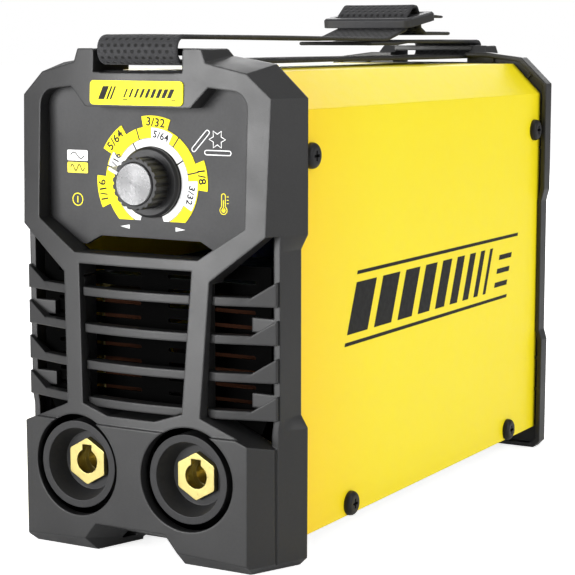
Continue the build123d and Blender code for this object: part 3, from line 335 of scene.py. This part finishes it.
def webbing(name, thread, groove_shade):
    """Waffle weave: crossing yarns round small pits, laid out by the band's own UVs in metres."""
    s = Shader(name)
    across, along = 3.0 * MM, 2.1 * MM
    uv = s.add("ShaderNodeUVMap", uv_map="weave").outputs[0]
    xyz = s.axes(uv)
    half_step = s.math("MULTIPLY", s.math("FLOOR", s.math("DIVIDE", xyz["Y"], along)), across / 2)
    u = s.math("MULTIPLY", s.math("ADD", xyz["X"], half_step), 2 * math.pi / across)
    v = s.math("MULTIPLY", xyz["Y"], 2 * math.pi / along)
    pit = s.math("MULTIPLY", s.math("MULTIPLY_ADD", s.math("COSINE", u), 0.5, 0.5),
                 s.math("MULTIPLY_ADD", s.math("COSINE", v), -0.5, 0.5))
    diagonal = s.math("ADD", xyz["X"], s.math("MULTIPLY", xyz["Y"], 0.6))
    yarn = s.math("SINE", s.math("MULTIPLY", diagonal, 2 * math.pi / (0.42 * MM)))
    selvedge = s.ramp(s.math("ABSOLUTE", xyz["X"]), 15.7 * MM, 16.2 * MM)
    open_weave = s.math("SUBTRACT", 1.0, selvedge)
    depth = s.math("MULTIPLY", s.ramp(pit, 0.25, 0.8), open_weave)
    ribs = s.math("SINE", s.math("MULTIPLY", xyz["Y"], 2 * math.pi / (0.9 * MM)))
    edge_rib = s.math("MULTIPLY", s.math("MULTIPLY", ribs, selvedge), 0.15)
    height = s.math("SUBTRACT", s.math("MULTIPLY_ADD", yarn, 0.08, edge_rib), depth)
    fuzz = s.ramp(s.noise(1800.0, 4.0), 0.3, 0.7, 0.75, 1.25)
    # painted shade: the pits of the weave darker than the yarn
    colour = s.mix(depth, thread, groove_shade)
    s.set(Base_Color=s.mix(1.0, colour, s.mix(1.0, (1, 1, 1), fuzz, "MULTIPLY"), "MULTIPLY"))
    s.set(Roughness=s.ramp(s.noise(500.0), 0.3, 0.7, 0.62, 0.78), Specular_IOR_Level=0.3)
    s.set(Normal=s.bump(height, 0.35 * MM, 0.9))
    s.set(Sheen_Weight=0.1, Sheen_Roughness=0.4)
    return s.mat


def board_finish(name):
    """Circuit board: two dark greens and shallow traces."""
    s = Shader(name)
    traces = s.cells(260.0, feature="DISTANCE_TO_EDGE")
    bare, masked = (0.006, 0.022, 0.011), (0.003, 0.012, 0.006)
    s.set(Base_Color=s.mix(s.ramp(traces, 0.04, 0.07), bare, masked))
    s.set(Roughness=s.ramp(s.noise(200.0), 0.3, 0.7, 0.3, 0.42))
    s.set(Normal=s.bump(traces, 0.03 * MM, 0.3))
    return s.mat


def winding(name):
    """Varnished wire laid in turns."""
    s = Shader(name)
    turns = s.noise(1500.0, 2.0, 0.5, s.scaled(x=0.05))
    # painted shade: both colours darker than real varnished copper, for the shade inside the housing;
    # the second is painted shade between turns
    wire, groove_shade = (0.05, 0.016, 0.008), (0.02, 0.008, 0.004)
    s.set(Metallic=0.3, Specular_IOR_Level=0.1)
    s.set(Base_Color=s.mix(s.ramp(turns, 0.4, 0.6), wire, groove_shade))
    s.set(Roughness=s.ramp(turns, 0.3, 0.7, 0.28, 0.45))
    s.set(Normal=s.bump(turns, 0.15 * MM, 0.7))
    return s.mat


YELLOW = (1.0, 0.84, 0.02)
finish = {
    "moulding": moulding("moulding", (0.019, 0.019, 0.0195), 0.38, 0.9 * MM, shine=0.34),
    # second colour: the painted shade toward the front cover
    "yellow_paint": paint("yellow_paint", (1.0, 0.83, 0.012), (1.0, 0.60, 0.008)),
    "zinc_sheet": metal("zinc_sheet", (0.55, 0.56, 0.58), 0.36, (0.05, 1.0, 1.0)),
    "black_screw": moulding("black_screw", (0.014, 0.014, 0.015), 0.38, 0.3 * MM, 0.02 * MM, 1.2),
    # near black with almost no sheen, blacker than real black paint: partly the sheet's own black,
    # partly painted shade for the dark interior
    "black_sheet": moulding("black_sheet", (0.0012, 0.0012, 0.0012), 0.9, 0.2 * MM, 0.03 * MM, 0.3,
                            shine=0.02),
    # painted shade: darker than real zinc plate, for the shade inside the housing
    "zinc_screw": metal("zinc_screw", (0.10, 0.10, 0.105), 0.5),
    "panel_plastic": moulding("panel_plastic", (0.03, 0.03, 0.031), 0.46, 0.5 * MM, 0.04 * MM, 0.3,
                              shine=0.22),
    "dial_print": dial_film("dial_print", YELLOW, (0.9, 0.9, 0.9), (0.03, 0.03, 0.03)),
    "plate_print": print_film("plate_print", (0.92, 0.92, 0.9), YELLOW, PLATE_SPLIT_Z * MM),
    "label_print": print_film("label_print", (1.0, 0.92, 0.02), rough=0.5),
    "lamp_lens": moulding("lamp_lens", (0.55, 0.55, 0.5), 0.15, 0.2 * MM, 0.01 * MM, 0.2),
    # painted shade: both greens darker than a real board's, for the shade inside the housing
    "board_laminate": board_finish("board_laminate"),
    "knob_plastic": moulding("knob_plastic", (0.02, 0.02, 0.021), 0.36, 0.35 * MM, 0.02 * MM, 0.9),
    "spun_aluminium": spun("spun_aluminium", (0.12, 0.12, 0.122)),
    "pointer_white": ink("pointer_white", (0.9, 0.9, 0.9)),
    "shaft_steel": metal("shaft_steel", (0.6, 0.6, 0.6), 0.25, (1.0, 1.0, 0.05)),
    "pot_case": metal("pot_case", (0.55, 0.55, 0.55), 0.35),
    "insulator": moulding("insulator", (0.022, 0.022, 0.023), 0.4, 0.5 * MM, 0.02 * MM, 0.9),
    "contact_brass": metal("contact_brass", (0.50, 0.42, 0.16), 0.34, (1.0, 0.2, 1.0), 1800.0,
                           0.3 * MM, 0.25),
    # painted shade: far darker than real copper, for the shade inside the housing
    "bar_copper": metal("bar_copper", (0.045, 0.018, 0.01), 0.5, (1.0, 1.0, 0.05)),
    # painted shade: darker than real aluminium, for the shade inside the housing
    "sink_aluminium": metal("sink_aluminium", (0.05, 0.05, 0.052), 0.5, (1.0, 0.05, 1.0)),
    "package_black": moulding("package_black", (0.02, 0.02, 0.02), 0.55, 0.3 * MM),
    "capacitor_sleeve": moulding("capacitor_sleeve", (0.03, 0.04, 0.1), 0.25, 0.3 * MM, 0.01 * MM),
    "relay_case": moulding("relay_case", (0.04, 0.12, 0.4), 0.3, 0.3 * MM),
    # painted shade: darker than real varnished wire, for the shade inside the housing
    "winding_copper": winding("winding_copper"),
    "ferrite": moulding("ferrite", (0.05, 0.05, 0.05), 0.6, 0.5 * MM, 0.1 * MM),
    "fan_plastic": moulding("fan_plastic", (0.018, 0.018, 0.018), 0.42, 0.4 * MM),
    "guard_plastic": moulding("guard_plastic", (0.022, 0.022, 0.022), 0.46, 0.35 * MM),
    "switch_plastic": moulding("switch_plastic", (0.016, 0.016, 0.016), 0.3, 0.4 * MM, 0.02 * MM),
    "rocker_plastic": moulding("rocker_plastic", (0.55, 0.02, 0.012), 0.25, 0.4 * MM, 0.01 * MM,
                               0.3),
    "gland_plastic": moulding("gland_plastic", (0.02, 0.02, 0.02), 0.42, 0.4 * MM, 0.03 * MM),
    # second colour is the painted shade in the weave's pits
    "webbing": webbing("webbing", (0.028, 0.028, 0.03), (0.002, 0.002, 0.002)),
    "buckle_plastic": moulding("buckle_plastic", (0.03, 0.03, 0.032), 0.42, 0.5 * MM, 0.03 * MM),
}
black_ink = ink("black_ink")
white_ink = ink("white_ink", (0.85, 0.85, 0.85))
yellow_ink = ink("yellow_ink", (0.95, 0.8, 0.03))

for part in frame["record"]["subparts"]:
    mesh = nodes[part["node"]].data
    mesh.materials.clear()
    mesh.materials.append(finish[part["material_slot"]])
    for face in mesh.polygons:
        face.material_index = 0


# ---- mesh helpers -------------------------------------------------------------------------------
def add_piece(name, vertices, faces, material, body="root", smooth=False):
    """A mesh given in millimetres, riding on a CAD body."""
    mesh = bpy.data.meshes.new(name)
    mesh.from_pydata([tuple(c * MM for c in v) for v in vertices], [], faces)
    mesh.materials.append(material)
    if smooth:
        mesh.polygons.foreach_set("use_smooth", [True] * len(mesh.polygons))
    mesh.update()
    piece = bpy.data.objects.new(name, mesh)
    scene.collection.objects.link(piece)
    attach(piece, body)
    return piece


def stroke(points, width, closed=False):
    """Quads that draw a line of some width through 2D points."""
    count = len(points)
    left, right = [], []
    for i, point in enumerate(points):
        before = points[i - 1] if i or closed else points[i]
        after = points[(i + 1) % count] if i + 1 < count or closed else points[i]
        heading = Vector((after[0] - before[0], after[1] - before[1])).normalized()
        side = Vector((-heading.y, heading.x)) * width / 2
        left.append((point[0] + side.x, point[1] + side.y))
        right.append((point[0] - side.x, point[1] - side.y))
    quads = []
    for i in range(count if closed else count - 1):
        onward = (i + 1) % count
        quads.append([left[i], left[onward], right[onward], right[i]])
    return quads


def arc(cx, cz, radius, start, end, steps=24):
    angles = [math.radians(start + (end - start) * i / steps) for i in range(steps + 1)]
    return [(cx + radius * math.cos(a), cz + radius * math.sin(a)) for a in angles]


def capsule(x0, z0, x1, z1, radius, steps=8):
    """Outline of a rounded bar between two points."""
    heading = math.degrees(math.atan2(z1 - z0, x1 - x0))
    return arc(x1, z1, radius, heading - 90, heading + 90, steps) + \
        arc(x0, z0, radius, heading + 90, heading + 270, steps)


def printed(name, polygons, place, material):
    """Flat marks: every 2D polygon is put on a surface by place(x, z)."""
    vertices, faces = [], []
    for polygon in polygons:
        first = len(vertices)
        vertices += [place(x, z) for x, z in polygon]
        faces.append(list(range(first, len(vertices))))
    return add_piece(name, vertices, faces, material)


def on_panel(x, z):
    return (x, PANEL_Y - INK_LIFT, z)


def on_plate(x, z):
    return (x, PANEL_Y - PLATE_FRONT - INK_LIFT, z)


def on_dial(x, z):
    return (x, DIAL_FRONT_Y - INK_LIFT, z)


def on_label(x, z):
    """A point on the curved, leaning front of the label plate."""
    lean = math.radians(LEAN_DEG)
    back = NOSE_R - math.sqrt(NOSE_R ** 2 - x * x) - LABEL_SET_BACK
    rise = z - LEAN_Z
    return (x, NOSE_Y + back * math.cos(lean) + rise * math.sin(lean),
            LEAN_Z + rise * math.cos(lean) - back * math.sin(lean))


def on_side(sign):
    return lambda y, z: (sign * (HOUSING_X + SIDE_INK_LIFT), y, z)


def number(name, text, size, place, x, z, turn_deg, material):
    """Digits lying on a surface, read with their top turned turn_deg from upright."""
    curve = bpy.data.curves.new(name, "FONT")
    curve.body = text
    curve.size = size
    curve.align_x = "CENTER"
    curve.align_y = "CENTER"
    curve.space_character = 1.08
    curve.offset = size * 0.022
    curve.resolution_u = 4
    drawn = bpy.data.objects.new(name + "_outline", curve)
    scene.collection.objects.link(drawn)
    bpy.context.view_layer.update()
    flat = bpy.data.meshes.new_from_object(drawn)
    a = math.radians(turn_deg)
    points = [place(x + v.co.x * math.cos(a) - v.co.y * math.sin(a),
                    z + v.co.x * math.sin(a) + v.co.y * math.cos(a)) for v in flat.vertices]
    faces = [list(p.vertices) for p in flat.polygons]
    bpy.data.objects.remove(drawn)
    bpy.data.meshes.remove(flat)
    return add_piece(name, points, faces, material)


# ---- printed marks ------------------------------------------------------------------------------
def polar(radius, degrees):
    a = math.radians(degrees)
    return KNOB_X + radius * math.cos(a), KNOB_Z + radius * math.sin(a)


dial_scales = (
    ("dial_outer_", OUTER_TEXT_R, OUTER_TEXT_SIZE,
     (("1/8", 7.5), ("3/32", 85.0), ("5/64", 137.0), ("1/16", 190.5))),
    ("dial_inner_", INNER_TEXT_R, INNER_TEXT_SIZE, (("3/32", -14.0), ("5/64", 76.0), ("1/16", 156.5))),
)
for prefix, text_radius, text_size, labels in dial_scales:
    for label, degrees in labels:
        x, z = polar(text_radius, degrees)
        number(prefix + label.replace("/", "_"), label, text_size, on_dial, x, z, degrees - 90,
               black_ink)

# power symbol (a ring and a bar) and a thermometer, each over its lamp
power = stroke(arc(POWER_X, POWER_Z, 2.3, 0, 360, 32)[:-1], 0.36, closed=True)
power += stroke([(POWER_X, 131.0), (POWER_X, 133.4)], 0.42)
printed("power_symbol", power, on_panel, yellow_ink)
stem = [(31.3, 132.4)] + arc(THERMOMETER_X, 136.2, 0.8, 180, 0, 8) + [(32.9, 132.4)]
thermometer = stroke(stem, 0.3) + stroke(arc(THERMOMETER_X, 131.0, 1.5, 122, 418, 20), 0.3)
thermometer.append(arc(THERMOMETER_X, 131.0, 0.85, 0, 360, 14)[:-1])
thermometer.append([(31.9, 131.2), (32.3, 131.2), (32.3, 134.6), (31.9, 134.6)])
for z in (133.4, 134.6, 135.8):
    thermometer.append([(33.5, z), (34.3, z), (34.3, z + 0.25), (33.5, z + 0.25)])
printed("thermometer_symbol", thermometer, on_panel, yellow_ink)

# outlined rod, spark and work piece at the upper right
rod_mark = stroke(capsule(19.6, 152.6, 25.4, 158.8, 0.85), 0.36, closed=True)
spark = []
for i in range(12):
    reach = 1.9 if i % 2 else 3.5
    a = math.pi * i / 6
    spark.append((29.6 + reach * math.cos(a), 156.4 + reach * math.sin(a)))
rod_mark += stroke(spark, 0.36, closed=True)
rod_mark += stroke(capsule(25.0, 151.6, 34.6, 151.6, 0.8), 0.36, closed=True)
printed("process_symbol", rod_mark, on_panel, white_ink)

# a single and a double wave on the two plates
for name, z, waves in (("range_wave_low", 148.8, 1), ("range_wave_high", 144.2, 2)):
    wave = [(-35.5 + 6.4 * i / 40, z + 1.15 * math.sin(2 * math.pi * waves * i / 40))
            for i in range(41)]
    printed(name, stroke(wave, 0.42), on_plate, black_ink)

# small triangles where the scale starts and ends
scale_ends = [[(-13.2, 123.0), (-9.0, 122.2), (-9.0, 123.8)],
              [(11.4, 122.2), (15.6, 123.0), (11.4, 123.8)]]
printed("scale_ends", scale_ends, on_panel, white_ink)


# label bar: a slanted badge and a row of slanted bars that grow to the right
def slanted(left, right, low, high, lean=0.45):
    shift = (high - low) * lean
    return [(left, low), (right, low), (right + shift, high), (left + shift, high)]


label_marks = [slanted(-16.4, -13.6, 170.4, 175.2), slanted(-12.7, -11.9, 170.4, 175.2),
               slanted(-11.1, -10.3, 170.4, 175.2)]
for i in range(9):
    left = -5.0 + i * 2.35
    label_marks.append(slanted(left, left + 0.7 + 0.13 * i, 171.2, 174.4))
label_marks.append([(-5.2, 170.2), (17.4, 170.2), (17.6, 170.55), (-5.0, 170.55)])
printed("label_marks", label_marks, on_label, black_ink)


def side_marks(sign):
    """Broad slanted bars that narrow toward the back, between two thin lines."""
    marks = []
    left = -76.0
    for width in (17.0, 15.0, 13.0, 11.0, 9.0, 7.5, 6.0, 4.5, 3.0):
        marks.append(slanted(left, left + width, 80.5, 100.0, SIDE_LEAN))
        left += width + 5.5
    marks.append(slanted(-78.0, left + 18.0, 76.2, 77.6, SIDE_LEAN))
    marks.append(slanted(-68.0, left + 30.0, 103.0, 104.4, SIDE_LEAN))
    for i in range(3):
        shift, low = 4.0 + 2.4 * i, 82.0 + 6.0 * i
        marks.append(slanted(left + shift, left + shift + 14.0, low, low + 2.2, SIDE_LEAN))
    if sign < 0:
        marks = [[(y, z) for y, z in reversed(mark)] for mark in marks]
    name = "side_marks_right" if sign > 0 else "side_marks_left"
    printed(name, marks, on_side(sign), black_ink)


side_marks(1)
side_marks(-1)


# ---- webbing ------------------------------------------------------------------------------------
def band_line(start, bends, end, step=1.2):
    """Points and left-hand normals along straight runs joined by round bends."""
    corners = [Vector(start)] + [Vector(point) for point, _ in bends] + [Vector(end)]
    line = []

    def run(a, b):
        pieces = max(1, round((b - a).length / step))
        heading = (b - a).normalized()
        for i in range(pieces):
            line.append((a.lerp(b, i / pieces), Vector((-heading.y, heading.x))))

    here = corners[0]
    heading = (corners[1] - corners[0]).normalized()
    for i, (_, radius) in enumerate(bends, 1):
        onward = (corners[i + 1] - corners[i]).normalized()
        turn = heading.angle_signed(onward)
        side = -1 if turn > 0 else 1
        reach = radius * math.tan(abs(turn) / 2)
        enter = corners[i] - heading * reach
        leave = corners[i] + onward * reach
        centre = enter + Vector((-heading.y, heading.x)) * radius * side
        run(here, enter)
        pieces = max(2, math.ceil(abs(turn) / math.radians(14)))
        for k in range(pieces):
            arm = (enter - centre).copy()
            arm.rotate(Matrix.Rotation(side * abs(turn) * k / pieces, 2))
            line.append((centre + arm, (-arm).normalized() * side))
        here, heading = leave, onward
    run(here, corners[-1])
    line.append((corners[-1], Vector((-heading.y, heading.x))))
    return line


def band(name, line, width, thick, material, wobble=0.0):
    """A closed band of webbing with rolled selvedges and a weave map in metres."""
    across = [-1.0, -0.985, -0.94, -0.86, -0.6, -0.3, 0.0, 0.3, 0.6, 0.86, 0.94, 0.985, 1.0]
    swell = [0.30, 0.75, 1.0, 0.94, 0.93, 0.94, 0.95, 0.94, 0.93, 0.94, 1.0, 0.75, 0.30]
    ring = len(across) * 2
    mesh_data, lengths = [], []
    run = 0.0
    for i, (point, normal) in enumerate(line):
        if i:
            run += (point - line[i - 1][0]).length
        lengths.append(run)
        lift = wobble * math.sin(run / 23.0)
        for sign, order in ((1, range(len(across))), (-1, range(len(across) - 1, -1, -1))):
            for k in order:
                out = sign * thick / 2 * swell[k] + lift * (across[k] ** 2 - 0.4)
                at = point + normal * out
                mesh_data.append((across[k] * width / 2, at.x, at.y))
    faces = []
    for i in range(len(line) - 1):
        for k in range(ring):
            a, b = i * ring + k, i * ring + (k + 1) % ring
            faces.append((a, b, b + ring, a + ring))
    last = (len(line) - 1) * ring
    faces.append(tuple(range(ring)))
    faces.append(tuple(range(last + ring - 1, last - 1, -1)))
    piece = add_piece(name, mesh_data, faces, material, smooth=True)
    layer = piece.data.uv_layers.new(name="weave")
    for loop in piece.data.loops:
        row = loop.vertex_index // ring
        layer.data[loop.index].uv = (mesh_data[loop.vertex_index][0] * MM, lengths[row] * MM)
    fixed = bmesh.new()
    fixed.from_mesh(piece.data)
    bmesh.ops.recalc_face_normals(fixed, faces=fixed.faces)
    fixed.to_mesh(piece.data)
    fixed.free()
    return piece, run


# corners of the strap's path as (y, z), each with the radius of its bend
strap_bends = [
    ((47.0, 190.0), 10.0), ((57.0, 190.8), 10.0),
    ((135.25, 190.8), 3.35), ((135.25, 183.5), 3.35),
    ((-131.35, 183.5), 4.55), ((-131.35, 193.2), 4.55),
    ((36.0, 191.9), 15.0), ((54.7, 196.2), 1.6), ((54.2, 201.8), 1.6), ((60.4, 206.4), 3.0),
    ((64.4, 206.2), 1.6), ((67.7, 201.6), 1.6), ((68.3, 196.8), 1.6), ((74.0, 194.4), 3.0),
]
strap_line = band_line((19.0, 190.0), strap_bends, (99.0, 194.4))
strap, strap_length = band("strap_band", strap_line, STRAP_W, STRAP_T, finish["webbing"], 0.12)
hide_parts("carry_strap")

tab_line = band_line((75.3, 202.3), [((84.0, 202.3), 12.0)], (91.2, 202.0))
tab, tab_length = band("pull_tab", tab_line, STRAP_W, PULL_TAB_T, finish["webbing"])
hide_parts("buckle_tab")


# ---- floor, light and camera --------------------------------------------------------------------
def floor_finish():
    """Pale, plain floor that shows as bright as the backdrop."""
    s = Shader("floor")
    cloud = s.ramp(s.noise(2.5), 0.3, 0.7, 0.0, 1.0)
    s.set(Base_Color=s.mix(cloud, (0.93, 0.93, 0.93), (0.95, 0.95, 0.95)))
    s.set(Roughness=0.8, Specular_IOR_Level=0.0, Emission_Color=(1.0, 1.0, 1.0))
    seen = s.add("ShaderNodeLightPath").outputs["Is Camera Ray"]
    s.set(Emission_Strength=s.ramp(seen, 0.0, 1.0, 0.05, 0.74))
    return s.mat


floor_mesh = bpy.data.meshes.new("floor")
floor_corners = [(-FLOOR_HALF, -FLOOR_HALF, FLOOR_Z), (FLOOR_HALF, -FLOOR_HALF, FLOOR_Z),
                 (FLOOR_HALF, FLOOR_HALF, FLOOR_Z), (-FLOOR_HALF, FLOOR_HALF, FLOOR_Z)]
floor_mesh.from_pydata(floor_corners, [], [(0, 1, 2, 3)])
floor_mesh.materials.append(floor_finish())
floor = bpy.data.objects.new("floor", floor_mesh)
scene.collection.objects.link(floor)

world = bpy.data.worlds.new("studio")
world.use_nodes = True
backdrop = world.node_tree.nodes["Background"]
seen = world.node_tree.nodes.new("ShaderNodeLightPath")
level = world.node_tree.nodes.new("ShaderNodeMapRange")
level.inputs["To Min"].default_value = FILL_LEVEL
level.inputs["To Max"].default_value = 1.0
world.node_tree.links.new(seen.outputs["Is Camera Ray"], level.inputs["Value"])
world.node_tree.links.new(level.outputs[0], backdrop.inputs["Strength"])
backdrop.inputs["Color"].default_value = (1.0, 1.0, 1.0, 1.0)
scene.world = world
scene.view_settings.view_transform = "Standard"


def softbox(name, place, target, width, height, power):
    light = bpy.data.lights.new(name, "AREA")
    light.shape = "RECTANGLE"
    light.size = width
    light.size_y = height
    light.energy = power
    lamp = bpy.data.objects.new(name, light)
    lamp.location = place
    lamp.rotation_euler = (Vector(target) - Vector(place)).to_track_quat("-Z", "Y").to_euler()
    scene.collection.objects.link(lamp)


softbox("front_box", (-0.62, -1.75, 0.12), (0.0, -0.13, 0.10), 1.1, 1.1, 76.0)
softbox("side_box", (1.7, 0.1, 0.75), (0.05, 0.0, 0.10), 1.4, 1.4, 14.0)
softbox("top_box", (0.0, 0.2, 1.8), (0.0, 0.0, 0.1), 1.4, 1.4, 10.0)
softbox("back_box", (-0.6, 1.6, 0.7), (0.0, 0.1, 0.1), 1.2, 1.0, 14.0)

camera_data = bpy.data.cameras.new("camera")
camera_data.lens = LENS_MM
camera_data.sensor_width = 36.0
camera = bpy.data.objects.new("camera", camera_data)
camera.location = CAMERA_PLACE
camera.rotation_euler = (math.radians(90.0 - CAMERA_DOWN_DEG), 0.0, math.radians(CAMERA_TURN_DEG))
scene.collection.objects.link(camera)
scene.camera = camera

bpy.context.view_layer.update()
